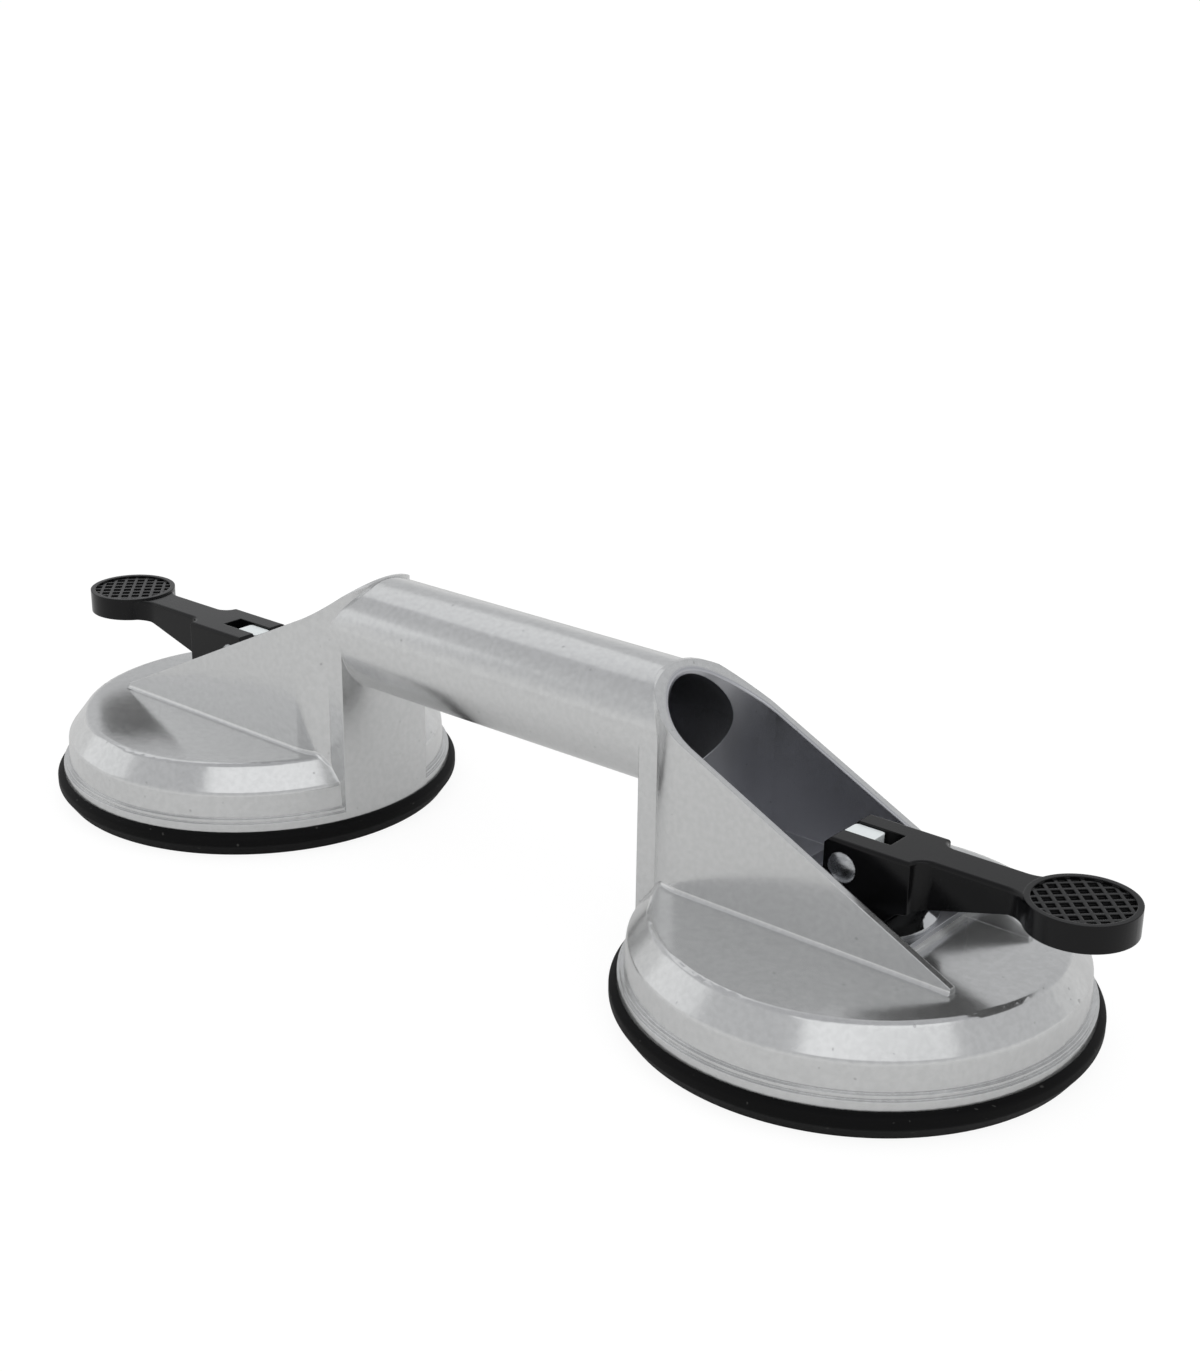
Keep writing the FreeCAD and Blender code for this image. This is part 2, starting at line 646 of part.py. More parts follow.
def make_lever(place, side):
    """The cam lever: a fork with two involute cams, a tapered arm and a round thumb pad."""
    body = new_body(f"lever_{place}", side)
    cam_steps = (0, 30, 60, 90)
    cam = []
    for start, end in zip(cam_steps, cam_steps[1:]):
        x, z = cam_point(start)
        cam.append((x, z, (d.cam_height - CAM_RATE * math.radians((start + end) / 2), -1)))
    heel_x, heel_z = cam_point(cam_steps[-1])
    arm_root = (d.fork_reach + d.fork_foot_reach) / 2
    sketch = new_sketch(body, f"side_outline_{place}", "XZ_Plane", y=PIN_HEIGHT)
    outline(sketch, cam + [
        (heel_x, heel_z),
        (heel_x, d.fork_top - d.fork_bevel),
        (heel_x + d.fork_bevel, d.fork_top),
        (d.thumb_reach - d.thumb_radius / 2, d.fork_top),
        (d.thumb_reach - d.thumb_radius / 2, -d.arm_end_depth + BITE),
        (d.arm_end_reach, -d.arm_end_depth),
        (arm_root, -d.arm_root_depth),
        (d.fork_foot_reach, -d.cam_height),
    ])
    extrude("Pad", f"side_{place}", sketch, 2 * d.fork_half_width, both_ways=True)

    # the arm is narrower than the fork, hollowed at the shoulders, and flares into the thumb pad
    shoulder = d.fork_half_width - d.arm_half_width
    beyond = d.fork_half_width + BITE
    neck_across = d.arm_half_width + d.neck_round
    neck_centre = d.thumb_radius + d.neck_round
    neck_start = d.thumb_reach - root(neck_centre * neck_centre - neck_across * neck_across)
    neck_end = d.thumb_reach - (d.thumb_reach - neck_start) * d.thumb_radius / neck_centre
    neck_half = neck_across * d.thumb_radius / neck_centre
    for name, turn_side in (("near", -1), ("far", 1)):
        sketch = new_sketch(body, f"{name}_shoulder_outline_{place}", "XY_Plane", z=PIN_HEIGHT)
        outline(sketch, [
            (d.fork_reach, turn_side * beyond),
            (d.fork_reach, turn_side * d.fork_half_width, (shoulder, turn_side)),
            (d.fork_reach + shoulder, turn_side * d.arm_half_width),
            (neck_start, turn_side * d.arm_half_width, (d.neck_round, turn_side)),
            (neck_end, turn_side * neck_half),
            (d.thumb_reach, turn_side * neck_half),
            (d.thumb_reach, turn_side * beyond),
        ])
        extrude("Pocket", f"{name}_shoulder_{place}", sketch, 4 * d.cam_height, both_ways=True)

    soften(body, f"arm_edge_{place}", d.arm_edge_round, lambda edge, middle:
           on(d.fork_top, middle.z - PIN_HEIGHT.value) and edge.BoundBox.XLength > BITE.value
           and abs(middle.y) > d.arm_half_width.value - NEAR_ENOUGH)

    # round thumb pad with a raised rim and crossed grip ribs
    thumb_foot = PIN_HEIGHT + d.fork_top + BITE - d.thumb_thickness
    recess_floor = thumb_foot + d.thumb_thickness - d.thumb_recess
    sketch = new_sketch(body, f"thumb_outline_{place}", "XY_Plane", z=thumb_foot)
    circle(sketch, d.thumb_reach, 0, d.thumb_radius)
    extrude("Pad", f"thumb_{place}", sketch, d.thumb_thickness)
    sketch = new_sketch(body, f"recess_outline_{place}", "XY_Plane", z=recess_floor)
    circle(sketch, d.thumb_reach, 0, d.thumb_radius - d.thumb_rim)
    extrude("Pocket", f"recess_{place}", sketch, 2 * d.thumb_recess, backwards=True)
    rib_end = d.thumb_radius - d.thumb_rim + BITE
    for name, lean in (("rising", 1), ("falling", -1)):
        sketch = new_sketch(body, f"{name}_rib_outlines_{place}", "XY_Plane", z=recess_floor - BITE)
        for step in RIB_STEPS:
            offset = step * d.rib_pitch
            along = root(rib_end * rib_end - offset * offset) * DIAGONAL
            low, high = (offset - d.rib_width / 2) * DIAGONAL, (offset + d.rib_width / 2) * DIAGONAL
            outline(sketch, [
                (d.thumb_reach - along - low, (low - along) * lean),
                (d.thumb_reach + along - low, (low + along) * lean),
                (d.thumb_reach + along - high, (high + along) * lean),
                (d.thumb_reach - along - high, (high - along) * lean),
            ])
        extrude("Pad", f"{name}_ribs_{place}", sketch, d.rib_height + BITE)

    slot = d.stem_width / 2 + d.slot_clearance
    sketch = new_sketch(body, f"slot_outline_{place}", "XY_Plane", z=PIN_HEIGHT)
    rectangle(sketch, -d.fork_reach, d.slot_reach, -slot, slot)
    extrude("Pocket", f"slot_{place}", sketch, 4 * d.cam_height, both_ways=True)
    sketch = new_sketch(body, f"ear_hole_outline_{place}", "XZ_Plane", y=PIN_HEIGHT)
    circle(sketch, 0, 0, d.rivet_radius + d.rivet_clearance)
    extrude("Pocket", f"ear_holes_{place}", sketch, 4 * d.fork_half_width, both_ways=True)
    return body


parts = [make_body_casting()]
for place, side in SIDES.items():
    parts.append(make_rubber_pad(place, side))
    parts.append(make_pad_plate(place, side))
    parts.append(make_stem(place, side))
    parts.append(make_return_spring(place, side))
    parts.append(make_spring_seat(place, side))
    parts.append(make_wear_washer(place, side))
    parts.append(make_pivot_rivet(place, side))
    parts.append(make_lever(place, side))
doc.recompute()

for item in doc.Objects:
    if "Invalid" in item.State or "Error" in item.State:
        raise RuntimeError(f"{item.Label} is {item.State}")
os.makedirs("parts", exist_ok=True)
for part in parts:
    shape = part.Shape
    if shape.isNull() or not shape.isValid() or not shape.Solids:
        raise RuntimeError(f"{part.Label} has no valid solid")
    shape.exportStep(os.path.join("parts", f"{part.Label}.step"))
    box = shape.BoundBox
    print(f"{part.Label}: {len(shape.Solids)} solid, {shape.Volume:.0f} mm3, "
          f"x {box.XMin:.1f} to {box.XMax:.1f}, z {box.ZMin:.1f} to {box.ZMax:.1f}")
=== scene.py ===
"""Looks of the two-cup tile suction lifter: finishes, fine forms, floor, light and camera.

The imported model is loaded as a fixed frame, and every piece made here is placed from it, in metres.
"""

import logging
import math
from dataclasses import dataclass
from enum import Enum
from typing import Any, Optional, Sequence, Union

import bmesh
import bpy
from mathutils import Matrix, Vector

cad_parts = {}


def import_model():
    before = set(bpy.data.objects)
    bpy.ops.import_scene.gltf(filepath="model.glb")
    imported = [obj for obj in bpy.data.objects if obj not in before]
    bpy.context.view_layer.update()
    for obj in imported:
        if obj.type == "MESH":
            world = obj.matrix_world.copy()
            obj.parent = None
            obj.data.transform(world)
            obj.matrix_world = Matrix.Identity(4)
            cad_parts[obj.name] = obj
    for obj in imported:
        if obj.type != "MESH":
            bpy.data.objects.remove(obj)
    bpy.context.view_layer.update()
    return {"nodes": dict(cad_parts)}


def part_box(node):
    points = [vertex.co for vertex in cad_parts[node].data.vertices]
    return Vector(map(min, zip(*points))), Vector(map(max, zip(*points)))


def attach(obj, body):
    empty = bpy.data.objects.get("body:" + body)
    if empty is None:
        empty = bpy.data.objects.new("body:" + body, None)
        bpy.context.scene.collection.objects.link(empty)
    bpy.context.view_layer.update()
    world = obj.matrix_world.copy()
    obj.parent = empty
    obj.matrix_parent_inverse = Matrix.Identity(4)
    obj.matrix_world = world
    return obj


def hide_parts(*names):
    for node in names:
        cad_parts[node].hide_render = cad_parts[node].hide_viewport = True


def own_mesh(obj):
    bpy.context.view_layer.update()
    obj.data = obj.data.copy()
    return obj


LOG = logging.getLogger("suction_lifter")
MM = 0.001

Colour = tuple[float, float, float]
Number = Union[int, float]


class Side(Enum):
    """The two ends of the tool, and the way each one faces along X."""

    RIGHT = 1
    LEFT = -1

    @property
    def word(self) -> str:
        """The word that ends a node's name."""
        return self.name.lower()


# ---------------------------------------------------------------- shader maths


class Socket:
    """A shader socket that takes part in Python expressions."""

    def __init__(self, graph: "Graph", link: Any) -> None:
        """Keep the graph and the output socket, or plain number, that stands for a value."""
        self.graph = graph
        self.link = link

    def _math(self, operation: str, *values: Any) -> "Socket":
        """Add one Math node for an operation on this value and others."""
        return self.graph.node("ShaderNodeMath", {"operation": operation}, dict(enumerate(values)))

    def __add__(self, other: Any) -> "Socket":
        """Sum."""
        return self._math("ADD", self, other)

    def __radd__(self, other: Any) -> "Socket":
        """Sum with a number on the left."""
        return self._math("ADD", other, self)

    def __sub__(self, other: Any) -> "Socket":
        """Difference."""
        return self._math("SUBTRACT", self, other)

    def __rsub__(self, other: Any) -> "Socket":
        """Difference from a number on the left."""
        return self._math("SUBTRACT", other, self)

    def __mul__(self, other: Any) -> "Socket":
        """Product."""
        return self._math("MULTIPLY", self, other)

    def __rmul__(self, other: Any) -> "Socket":
        """Product with a number on the left."""
        return self._math("MULTIPLY", other, self)

    def __pow__(self, other: Any) -> "Socket":
        """Power."""
        return self._math("POWER", self, other)

    def clamp(self) -> "Socket":
        """The value held between 0 and 1."""
        return self.graph.node("ShaderNodeClamp", {}, {0: self})

    def ramp(self, low: Number, high: Number) -> "Socket":
        """0 below low, 1 above high, and smooth between.

        Args:
            low: value that gives 0.
            high: value that gives 1.

        Returns:
            The smooth step.
        """
        settings = {"interpolation_type": "SMOOTHSTEP"}
        return self.graph.node("ShaderNodeMapRange", settings, {0: self, 1: low, 2: high, 3: 0.0, 4: 1.0})


class Graph:
    """The node tree of one material or of the world."""

    def __init__(self, tree: Any) -> None:
        """Empty the tree."""
        self.tree = tree
        tree.nodes.clear()

    def node(self, kind: str, settings: dict[str, Any], inputs: dict[Any, Any], out: Any = 0) -> Socket:
        """Add any node.

        Args:
            kind: the node's type.
            settings: properties that are set before the sockets.
            inputs: values, or sockets to link, by socket name or number.
            out: which output to return.

        Returns:
            The output as a Socket.
        """
        made = self.tree.nodes.new(kind)
        for name, value in settings.items():
            setattr(made, name, value)
        for key, value in inputs.items():
            if isinstance(value, Socket):
                self.tree.links.new(value.link, made.inputs[key])
            else:
                made.inputs[key].default_value = value
        return Socket(self, made.outputs[out] if len(made.outputs) else made)

    def place(self) -> Socket:
        """Object coordinates, in metres."""
        return self.node("ShaderNodeTexCoord", {}, {}, "Object")

    def noise(self, scale: float, detail: float = 2.0, stretch: Optional[Sequence[float]] = None) -> Socket:
        """Smooth noise on object coordinates.

        Args:
            scale: features for each metre.
            detail: octaves.
            stretch: scale along each axis, or None.

        Returns:
            The noise, about 0 to 1.
        """
        where = self.place()
        if stretch is not None:
            where = self.node("ShaderNodeMapping", {}, {"Vector": where, "Scale": tuple(stretch)})
        return self.node("ShaderNodeTexNoise", {}, {"Vector": where, "Scale": scale, "Detail": detail}, "Fac")

    def mix(self, factor: Any, low: Any, high: Any) -> Socket:
        """Mix two colours."""
        return self.node("ShaderNodeMix", {"data_type": "RGBA"}, {0: factor, 6: low, 7: high}, 2)

    def bump(self, height: Any, distance: float, strength: float = 1.0, normal: Any = None) -> Socket:
        """A normal bent by a height in metres times distance."""
        inputs = {"Height": height, "Distance": distance, "Strength": strength}
        if normal is not None:
            inputs["Normal"] = normal
        return self.node("ShaderNodeBump", {}, inputs, "Normal")

    def surface(self, **sockets: Any) -> None:
        """Finish the tree with one Principled shader; underscores in names stand for spaces."""
        inputs = {name.replace("_", " "): value for name, value in sockets.items()}
        shader = self.node("ShaderNodeBsdfPrincipled", {}, inputs)
        self.node("ShaderNodeOutputMaterial", {}, {"Surface": shader})


def rgba(colour: Colour, strength: float = 1.0) -> tuple[float, float, float, float]:
    """A colour times a strength, with full alpha."""
    return (*(part * strength for part in colour), 1.0)


@dataclass(frozen=True)
class Finish:
    """A named surface finish; each kind fills its own node tree."""

    name: str

    def fill(self, graph: Graph) -> None:
        """Add the nodes."""
        raise NotImplementedError

    def material(self) -> bpy.types.Material:
        """The finish as a material, made once."""
        known = bpy.data.materials.get(self.name)
        if known is not None:
            return known
        made = bpy.data.materials.new(self.name)
        made.use_nodes = True
        self.fill(Graph(made.node_tree))
        return made


@dataclass(frozen=True)
class CastMetal(Finish):
    """Die-cast aluminium, tumbled to a satin polish."""

    colour: Colour = (0.675, 0.68, 0.68)
    roughness: float = 0.18
    trough_half_width: float = 0.0162
    trough_end: float = 0.0674
    trough_mouth: float = 0.1228
    trough_floor: float = 0.0255
    bore_radius: float = 0.0127
    bore_height: float = 0.0574
    wall_near: float = 0.0002
    wall_far: float = 0.0009
    end_fade: float = 0.0006
    cloud_scale: float = 30.0
    wave_scale: float = 140.0
    mottle_scale: float = 650.0
    grain_scale: float = 2400.0
    pit_scale: float = 700.0
    edge_round: float = 0.0003
    scatter: float = 0.13
    # Colour inside the troughs and the bore: the unpolished cast skin, made darker and bluer as painted
    # shade.
    raw_and_shade_colour: Colour = (0.52, 0.525, 0.55)
    raw_roughness: float = 0.16

    def raw_and_shade_mask(self, graph: Graph) -> Socket:
        """1 inside the troughs and the tube, where no polishing wheel reaches and where the colour is
        darkened as painted shade, and 0 outside.
        """
        place = graph.place()
        along, across, height = (
            graph.node("ShaderNodeSeparateXYZ", {}, {0: place}, axis) for axis in "XYZ")
        reach = graph.node("ShaderNodeMath", {"operation": "ABSOLUTE"}, {0: along})
        past_end = graph.node("ShaderNodeMath", {"operation": "MINIMUM"},
                              {0: reach - self.trough_end, 1: 0.0})
        from_axis = (past_end * past_end + across * across) ** 0.5
        inside = 1 - from_axis.ramp(self.trough_half_width + self.wall_near,
                                    self.trough_half_width + self.wall_far)
        deep = height.ramp(self.trough_floor - self.end_fade, self.trough_floor)
        before_mouth = 1 - reach.ramp(self.trough_mouth, self.trough_mouth + self.end_fade)
        rise = height - self.bore_height
        from_bore = (rise * rise + across * across) ** 0.5
        bore = 1 - from_bore.ramp(self.bore_radius + self.wall_near, self.bore_radius + self.wall_far)
        before_end = 1 - reach.ramp(self.trough_end, self.trough_end + self.end_fade)
        return (inside * deep * before_mouth + bore * before_end).clamp()

    def fill(self, graph: Graph) -> None:
        """Cloudy polish, faint waves, a frosted grain, a few pits and rounded edges."""
        raw_and_shade = self.raw_and_shade_mask(graph)
        cloud = graph.noise(self.cloud_scale, 3.0)
        wave = graph.noise(self.wave_scale, 2.0)
        grain = graph.noise(self.grain_scale, 2.0)
        pits = graph.noise(self.pit_scale, 0.0).ramp(0.825, 0.86)
        mottle = graph.noise(self.mottle_scale, 3.0)
        uneven = (cloud * 0.45 + mottle.ramp(0.30, 0.70) * 0.55).clamp()
        tint = graph.mix(uneven, rgba(self.colour, 0.92), rgba(self.colour, 1.05))
        # Inside the troughs and the bore the colour turns darker and bluer: painted shade over the rougher
        # unpolished cast skin.
        shaded = graph.mix(raw_and_shade, tint, rgba(self.raw_and_shade_colour))
        marked = graph.mix(pits * 0.4, shaded, rgba(self.colour, 0.4))
        rough = (self.roughness + (cloud - 0.5) * 0.08 + (grain - 0.5) * 0.05
                 + (mottle - 0.5) * 0.03 + raw_and_shade * self.raw_roughness)
        edge = graph.node("ShaderNodeBevel", {"samples": 6}, {"Radius": self.edge_round}, "Normal")
        normal = graph.bump(wave * 0.00006 + mottle * 0.000003 + grain * 0.000003, 1.0, 0.5, edge)
        metallic = 1 - (1 - raw_and_shade) * self.scatter
        graph.surface(Base_Color=marked, Metallic=metallic, Roughness=rough, Normal=normal)


@dataclass(frozen=True)
class PlainMetal(Finish):
    """Turned, drawn or plated metal with a fine grain."""

    colour: Colour = (0.6, 0.6, 0.6)
    roughness: float = 0.25
    grain: float = 0.06
    metallic: float = 1.0
    scuffs: float = 0.0
    edge_round: float = 0.0003

    def fill(self, graph: Graph) -> None:
        """A fine grain that varies the gloss, and scuffs where the piece is handled."""
        grain = graph.noise(1800.0, 3.0)
        cloud = graph.noise(90.0, 2.0)
        scuff = graph.noise(240.0, 4.0, (1.0, 1.0, 5.0)).ramp(0.52, 0.66)
        tint = graph.mix(cloud, rgba(self.colour, 0.93), rgba(self.colour))
        worn = graph.mix(scuff * self.scuffs, tint, rgba(tuple(min(1.0, c * 1.6) for c in self.colour)))
        rough = self.roughness + (grain - 0.5) * self.grain + scuff * (self.scuffs * 0.25)
        edge = graph.node("ShaderNodeBevel", {"samples": 4}, {"Radius": self.edge_round}, "Normal")
        graph.surface(Base_Color=worn, Metallic=self.metallic, Roughness=rough,
                      Normal=graph.bump(grain, 0.00002, 0.3, edge))


@dataclass(frozen=True)
class MouldedPlastic(Finish):
    """Black moulded plastic with a fine spark-eroded texture."""

    colour: Colour = (0.0035, 0.0035, 0.0038)
    roughness: float = 0.20
    gloss: float = 0.24
    edge_round: float = 0.0004

    def fill(self, graph: Graph) -> None:
        """Low sheen with a fine texture and hazy, slightly duller patches."""
        texture = graph.noise(1700.0, 2.0)
        cloud = graph.noise(75.0, 3.0)
        tint = graph.mix(cloud, rgba(self.colour, 0.8), rgba(self.colour, 1.25))
        rough = self.roughness + (cloud - 0.5) * 0.16 + (texture - 0.5) * 0.08
        edge = graph.node("ShaderNodeBevel", {"samples": 6}, {"Radius": self.edge_round}, "Normal")
        normal = graph.bump(texture * 0.00001 + cloud * 0.00005, 1.0, 0.5, edge)
        graph.surface(Base_Color=tint, Roughness=rough, Normal=normal, Specular_IOR_Level=self.gloss)


@dataclass(frozen=True)
class PadRubber(Finish):
    """Black moulded rubber, matt, paler grey along its lowest few millimetres, with a little dust."""

    colour: Colour = (0.0030, 0.0030, 0.0032)
    lower_edge_colour: Colour = (0.0085, 0.0085, 0.0088)
    dust: Colour = (0.05, 0.05, 0.048)
    roughness: float = 0.52
    gloss: float = 0.10

    def fill(self, graph: Graph) -> None:
        """Matt black with a paler lower edge, fine skin and scattered dust."""
        height = graph.node("ShaderNodeSeparateXYZ", {}, {0: graph.place()}, "Z")
        low = 1 - height.ramp(0.0028, 0.0040)
        cloud = graph.noise(70.0, 3.0)
        # The lowest few millimetres are mixed towards a paler grey, more where the cloud noise is high.
        tint = graph.mix((low * (0.6 + 0.4 * cloud)).clamp(), rgba(self.colour), rgba(self.lower_edge_colour))
        specks = graph.noise(820.0, 0.0).ramp(0.81, 0.84)
        dusty = graph.mix(specks * 0.8, tint, rgba(self.dust))
        fine = graph.noise(1500.0, 2.0)
        rough = self.roughness + (cloud - 0.5) * 0.12 + specks * 0.2
        normal = graph.bump(fine * 0.000012 + specks * 0.00004, 1.0, 0.5)
        graph.surface(Base_Color=dusty, Roughness=rough, Specular_IOR_Level=self.gloss, Normal=normal)


CAST = CastMetal("cast_satin")
STEEL = PlainMetal("zinc_steel", colour=(0.62, 0.63, 0.65), roughness=0.3)
STEM = PlainMetal("stem_frosted_zinc", colour=(0.93, 0.98, 0.99), roughness=0.42, metallic=0.05, grain=0.2)
SPRING = PlainMetal("spring_wire", colour=(0.42, 0.42, 0.43), roughness=0.3)
RIVET = PlainMetal("rivet_bright", colour=(0.44, 0.45, 0.46), roughness=0.27, scuffs=0.5)
CHROME = PlainMetal("washer_chrome", colour=(0.70, 0.71, 0.72), roughness=0.08, grain=0.02, scuffs=0.15)
PLASTIC = MouldedPlastic("lever_black")
RUBBER = PadRubber("pad_rubber_black")

NODE_FINISH: dict[str, Finish] = {
    "body_casting": CAST,
    "rubber_pad": RUBBER,
    "pad_plate": STEEL,
    "stem": STEM,
    "return_spring": SPRING,
    "spring_seat": STEEL,
    "wear_washer": CHROME,
    "pivot_rivet": RIVET,
    "lever": PLASTIC,
}


def dress_nodes(frame: dict[str, Any]) -> None:
    """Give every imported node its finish.
    """
    for name, node in frame["nodes"].items():
        kind = name.rsplit("_", 1)[0] if name.endswith(("_left", "_right")) else name
        node.data.materials.clear()
        node.data.materials.append(NODE_FINISH[kind].material())
        LOG.info("dressed %s with %s", name, NODE_FINISH[kind].name)


# ---------------------------------------------------------------- rubber pads


def finished_object(name: str, form: bmesh.types.BMesh, finish: Finish) -> bpy.types.Object:
    """Turn a bmesh into a smooth piece with its finish.

    Args:
        name: the piece's name.
        form: its shape, in metres, in place; it is freed here.
        finish: its finish.

    Returns:
        The new object.
    """
    mesh = bpy.data.meshes.new(name)
    for face in form.faces:
        face.smooth = True
    form.to_mesh(mesh)
    form.free()
    mesh.materials.append(finish.material())
    made = bpy.data.objects.new(name, mesh)
    bpy.context.scene.collection.objects.link(made)
    LOG.info("made %s, %d faces", name, len(mesh.polygons))
    return made


def turned(profile: Sequence[tuple[float, float]], centre: Vector, steps: int) -> bmesh.types.BMesh:
    """Spin a closed outline about an upright axis.

    Args:
        profile: radius and height of each corner, in millimetres.
        centre: a point on the axis, in metres.
        steps: how many flats go round.

    Returns:
        The turned shape, with its faces pointing outwards.
    """
    form = bmesh.new()
    corners = [form.verts.new((centre.x + radius * MM, centre.y, height * MM))
               for radius, height in profile]
    edges = [form.edges.new(pair) for pair in zip(corners, corners[1:] + corners[:1])]
    bmesh.ops.spin(form, geom=corners + edges, cent=centre, axis=(0, 0, 1), angle=math.tau,
                   steps=steps, use_merge=True)
    bmesh.ops.remove_doubles(form, verts=form.verts, dist=1e-6)
    bmesh.ops.recalc_face_normals(form, faces=form.faces)
    return form


def round_rings(form: bmesh.types.BMesh, limit: float, width: float) -> None:
    """Round the edges of a turned shape that bend more than a limit.

    Args:
        form: the shape.
        limit: the least bend, in degrees.
        width: the bevel's width, in metres.
    """
    sharp = [edge for edge in form.edges
             if len(edge.link_faces) == 2 and edge.calc_face_angle(0) > math.radians(limit)]
    bmesh.ops.bevel(form, geom=sharp, offset=width, offset_type="OFFSET", affect="EDGES",
                    segments=3, profile=0.5, material=-1, clamp_overlap=True)


@dataclass
class SuctionPad:
    """One rubber pad: the edge ring under the rim, and the domed middle that the stem pulls up.

    Sizes are in millimetres from the pad's own axis and the floor.
    """

    side: Side
    edge_profile: tuple[tuple[float, float], ...] = (
        (50.4, 0.0), (54.7, 0.0), (55.1, 0.35), (57.15, 3.25), (57.5, 3.75), (57.5, 6.05),
        (57.0, 6.45), (55.9, 6.95), (47.0, 6.95), (47.0, 5.4), (50.4, 4.2),
    )
    edge_bend: float = 24.0
    edge_round: float = 0.35
    lip_radius: float = 50.3
    lip_top: float = 3.9
    dome_top: float = 6.5
    dome_flat: float = 31.0
    thickness: float = 2.7
    shoulder: tuple[float, float] = (44.0, 6.6)
    dome_steps: int = 9
    round_steps: int = 160
    squashed_share: float = 0.4

    @property
    def centre(self) -> Vector:
        """Where the pad's axis meets the floor."""
        low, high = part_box(f"rubber_pad_{self.side.word}")
        return Vector(((low.x + high.x) / 2, (low.y + high.y) / 2, 0.0))

    def dome_profile(self) -> list[tuple[float, float]]:
        """The middle's outline: up the hollow underside to the axis, then back out along the top."""
        under = []
        for step in range(self.dome_steps + 1):
            share = step / self.dome_steps
            radius = self.lip_radius + (self.dome_flat - self.lip_radius) * share
            under.append((radius, self.dome_top * math.sin(share * math.pi / 2)))
        top = self.dome_top + self.thickness
        over = [(0.0, self.dome_top), (0.0, top), (self.dome_flat, top), self.shoulder]
        return under + over + [(self.lip_radius, self.lip_top)]

    def build(self) -> None:
        """Make the ring and the middle, in place of the plain packed pad."""
        node = f"rubber_pad_{self.side.word}"
        ring = turned(self.edge_profile, self.centre, self.round_steps)
        round_rings(ring, self.edge_bend, self.edge_round * MM)
        edge = finished_object(f"pad_edge_{self.side.word}", ring, RUBBER)
        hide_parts(node)
        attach(edge, "frame")
        middle = turned(self.dome_profile(), self.centre, self.round_steps)
        dome = finished_object(f"pad_middle_{self.side.word}", middle, RUBBER)
        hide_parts(node)
        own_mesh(dome)
        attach(dome, "frame")


# ---------------------------------------------------------------- stage


@dataclass(frozen=True)
class SoftBox:
    """One rectangular soft lamp that faces the tool: where it stands, its size and its power."""

    name: str
    place: tuple[float, float, float]
    size: tuple[float, float]
    watts: float

    def build(self, aim: Sequence[float]) -> None:
        """Add the lamp.

        Args:
            aim: the point it faces.
        """
        data = bpy.data.lights.new(self.name, "AREA")
        data.shape = "RECTANGLE"
        data.size, data.size_y = self.size
        data.energy = self.watts
        lamp = bpy.data.objects.new(self.name, data)
        lamp.location = self.place
        toward = Vector(aim) - Vector(self.place)
        lamp.rotation_euler = toward.to_track_quat("-Z", "Y").to_euler()
        bpy.context.scene.collection.objects.link(lamp)


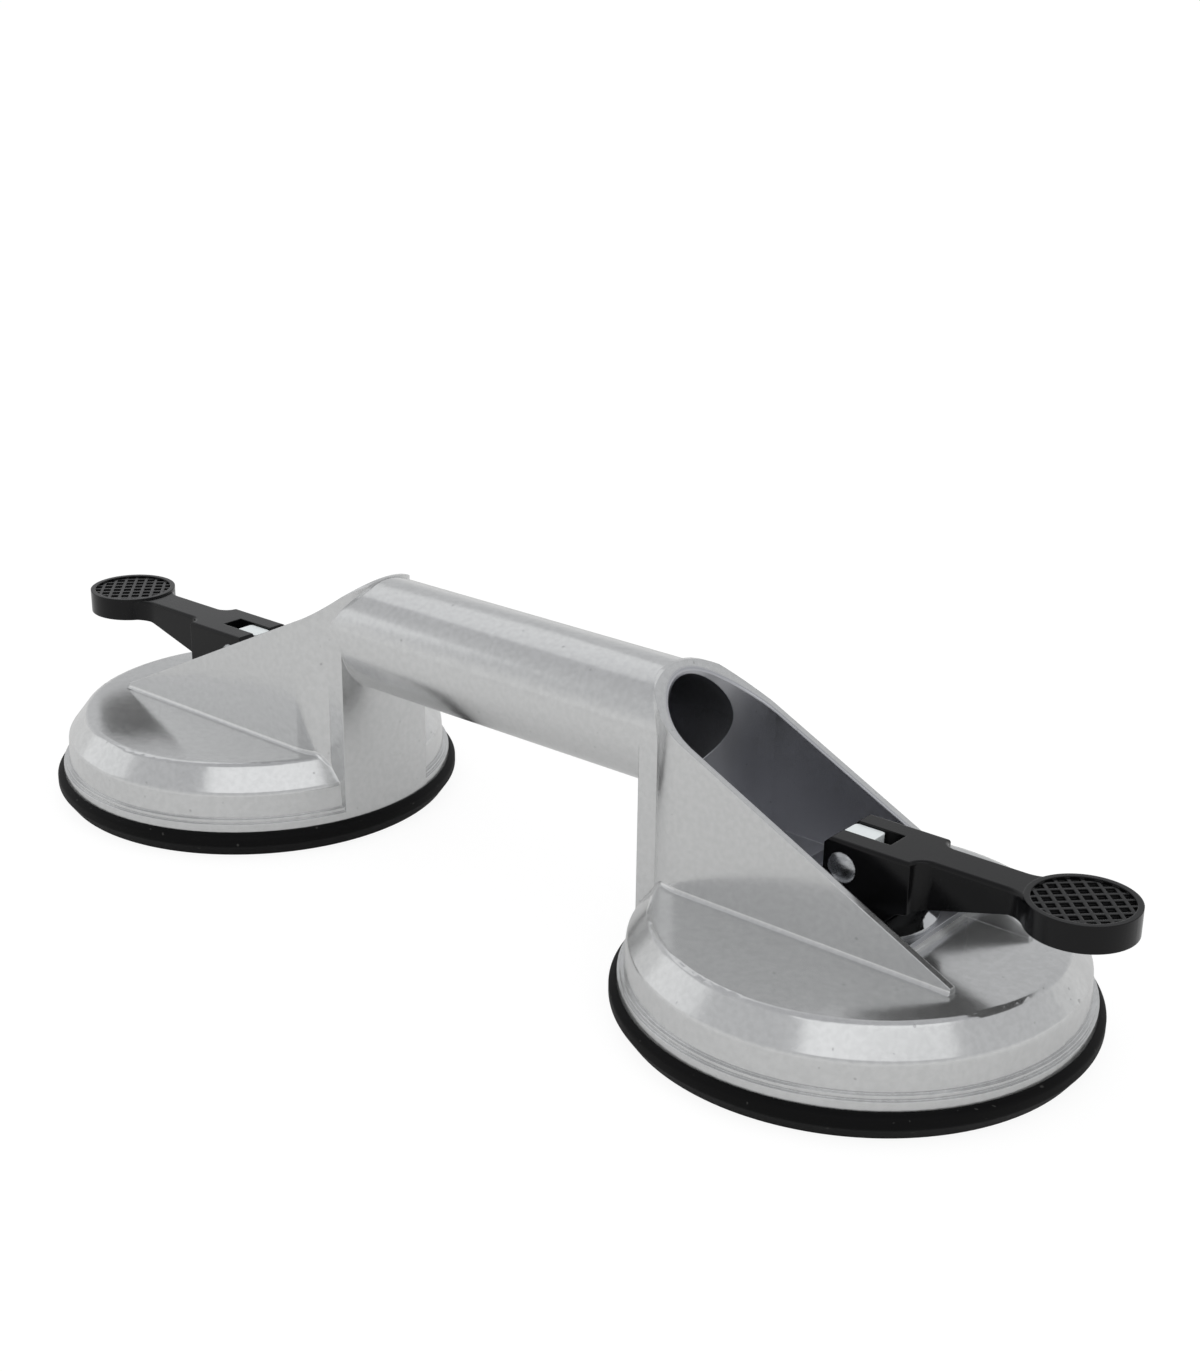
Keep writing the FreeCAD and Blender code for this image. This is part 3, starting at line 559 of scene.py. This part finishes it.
@dataclass
class Studio:
    """Floor and soft light, white to the camera and grey to the metal."""

    floor_reach: float = 14.0
    floor_drop: float = 0.0002
    floor_colour: Colour = (0.80, 0.80, 0.80)
    glow_strength: float = 1.10
    seen_share: float = 0.82
    mirrored_share: float = 0.03
    wall_low: Colour = (0.80, 0.80, 0.80)
    wall_high: Colour = (0.60, 0.605, 0.615)
    overhead: Colour = (0.50, 0.505, 0.52)
    room_light: Colour = (0.80, 0.80, 0.80)
    aim: tuple[float, float, float] = (0.0, 0.0, 0.03)
    lamps: tuple[SoftBox, ...] = (
        SoftBox("key_box", (0.71, -0.59, 1.18), (1.66, 0.70), 2.0),
        SoftBox("side_box", (-1.26, -0.59, 0.56), (0.90, 0.60), 0.55),
        SoftBox("back_box", (-0.91, 0.33, 1.15), (1.00, 0.60), 0.6),
    )

    def floor(self) -> None:
        """A pale floor that keeps the soft shadow."""
        mesh = bpy.data.meshes.new("floor")
        form = bmesh.new()
        bmesh.ops.create_grid(form, x_segments=1, y_segments=1, size=self.floor_reach)
        bmesh.ops.translate(form, vec=(0.0, 0.0, -self.floor_drop), verts=form.verts)
        form.to_mesh(mesh)
        form.free()
        floor = bpy.data.objects.new("floor", mesh)
        bpy.context.scene.collection.objects.link(floor)
        made = bpy.data.materials.new("floor_white")
        made.use_nodes = True
        graph = Graph(made.node_tree)
        rays = made.node_tree.nodes.new("ShaderNodeLightPath")
        seen = Socket(graph, rays.outputs["Is Camera Ray"])
        mirrored = Socket(graph, rays.outputs["Is Glossy Ray"])
        passed = Socket(graph, rays.outputs["Is Transmission Ray"])
        matt = graph.node("ShaderNodeBsdfDiffuse", {}, {"Color": rgba(self.floor_colour)})
        glow = graph.node("ShaderNodeEmission", {},
                          {"Color": (1, 1, 1, 1), "Strength": self.glow_strength})
        share = (seen * self.seen_share + mirrored * self.mirrored_share
                 + passed * self.seen_share).clamp()
        both = graph.node("ShaderNodeMixShader", {}, {0: share, 1: matt, 2: glow})
        graph.node("ShaderNodeOutputMaterial", {}, {"Surface": both})
        mesh.materials.append(made)

    def world(self) -> None:
        """White to the camera; a soft grey room to everything else."""
        world = bpy.data.worlds.new("studio")
        world.use_nodes = True
        bpy.context.scene.world = world
        graph = Graph(world.node_tree)
        rays = world.node_tree.nodes.new("ShaderNodeLightPath")
        seen = Socket(graph, rays.outputs["Is Camera Ray"])
        direction = graph.node("ShaderNodeTexCoord", {}, {}, "Generated")
        up = graph.node("ShaderNodeSeparateXYZ", {}, {0: direction}, "Z")
        wall = graph.mix(up.ramp(0.0, 0.40), rgba(self.wall_low), rgba(self.wall_high))
        sky = graph.mix(up.ramp(0.5, 0.95), wall, rgba(self.overhead))
        mirrored = Socket(graph, rays.outputs["Is Glossy Ray"])
        lit = graph.mix(mirrored, rgba(self.room_light), sky)
        room = graph.node("ShaderNodeBackground", {}, {"Color": lit, "Strength": 1.0})
        white = graph.node("ShaderNodeBackground", {}, {"Color": (1, 1, 1, 1), "Strength": 1.0})
        both = graph.node("ShaderNodeMixShader", {}, {0: seen, 1: room, 2: white})
        graph.node("ShaderNodeOutputWorld", {}, {"Surface": both})

    def build(self) -> None:
        """Set up the whole studio."""
        self.floor()
        self.world()
        for box in self.lamps:
            box.build(self.aim)
        LOG.info("studio ready")


@dataclass
class Camera:
    """The viewing camera, on a sphere about a point of the tool."""

    azimuth: float = math.radians(39.55)
    elevation: float = math.radians(20.77)
    roll: float = math.radians(0.79)
    distance: float = 0.58912
    target: tuple[float, float, float] = (-0.0262, 0.06285, 0.030)
    lens: float = 60.98
    sensor: float = 36.0

    def build(self) -> None:
        """Place the camera and make it the scene's own."""
        flat = math.cos(self.elevation)
        back = Vector((math.sin(self.azimuth) * flat, -math.cos(self.azimuth) * flat,
                       math.sin(self.elevation)))
        side = Vector((math.cos(self.azimuth), math.sin(self.azimuth), 0.0))
        rise = back.cross(side)
        turn, hold = math.sin(self.roll), math.cos(self.roll)
        right = side * hold + rise * turn
        up = rise * hold - side * turn
        data = bpy.data.cameras.new("view")
        data.lens = self.lens
        data.sensor_width = self.sensor
        data.sensor_fit = "HORIZONTAL"
        data.clip_start = 0.01
        camera = bpy.data.objects.new("view", data)
        columns = Matrix((right, up, back)).transposed()
        stand = Vector(self.target) + back * self.distance
        camera.matrix_world = Matrix.Translation(stand) @ columns.to_4x4()
        bpy.context.scene.collection.objects.link(camera)
        bpy.context.scene.camera = camera
        LOG.info("camera ready")


def main() -> None:
    """Load the frame, make every piece and dress it."""
    logging.basicConfig(level=logging.INFO, format="%(name)s: %(message)s")
    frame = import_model()
    scene = bpy.context.scene
    scene.view_settings.view_transform = "Standard"
    dress_nodes(frame)
    for side in Side:
        SuctionPad(side).build()
    Studio().build()
    Camera().build()


if __name__ == "__main__":
    main()
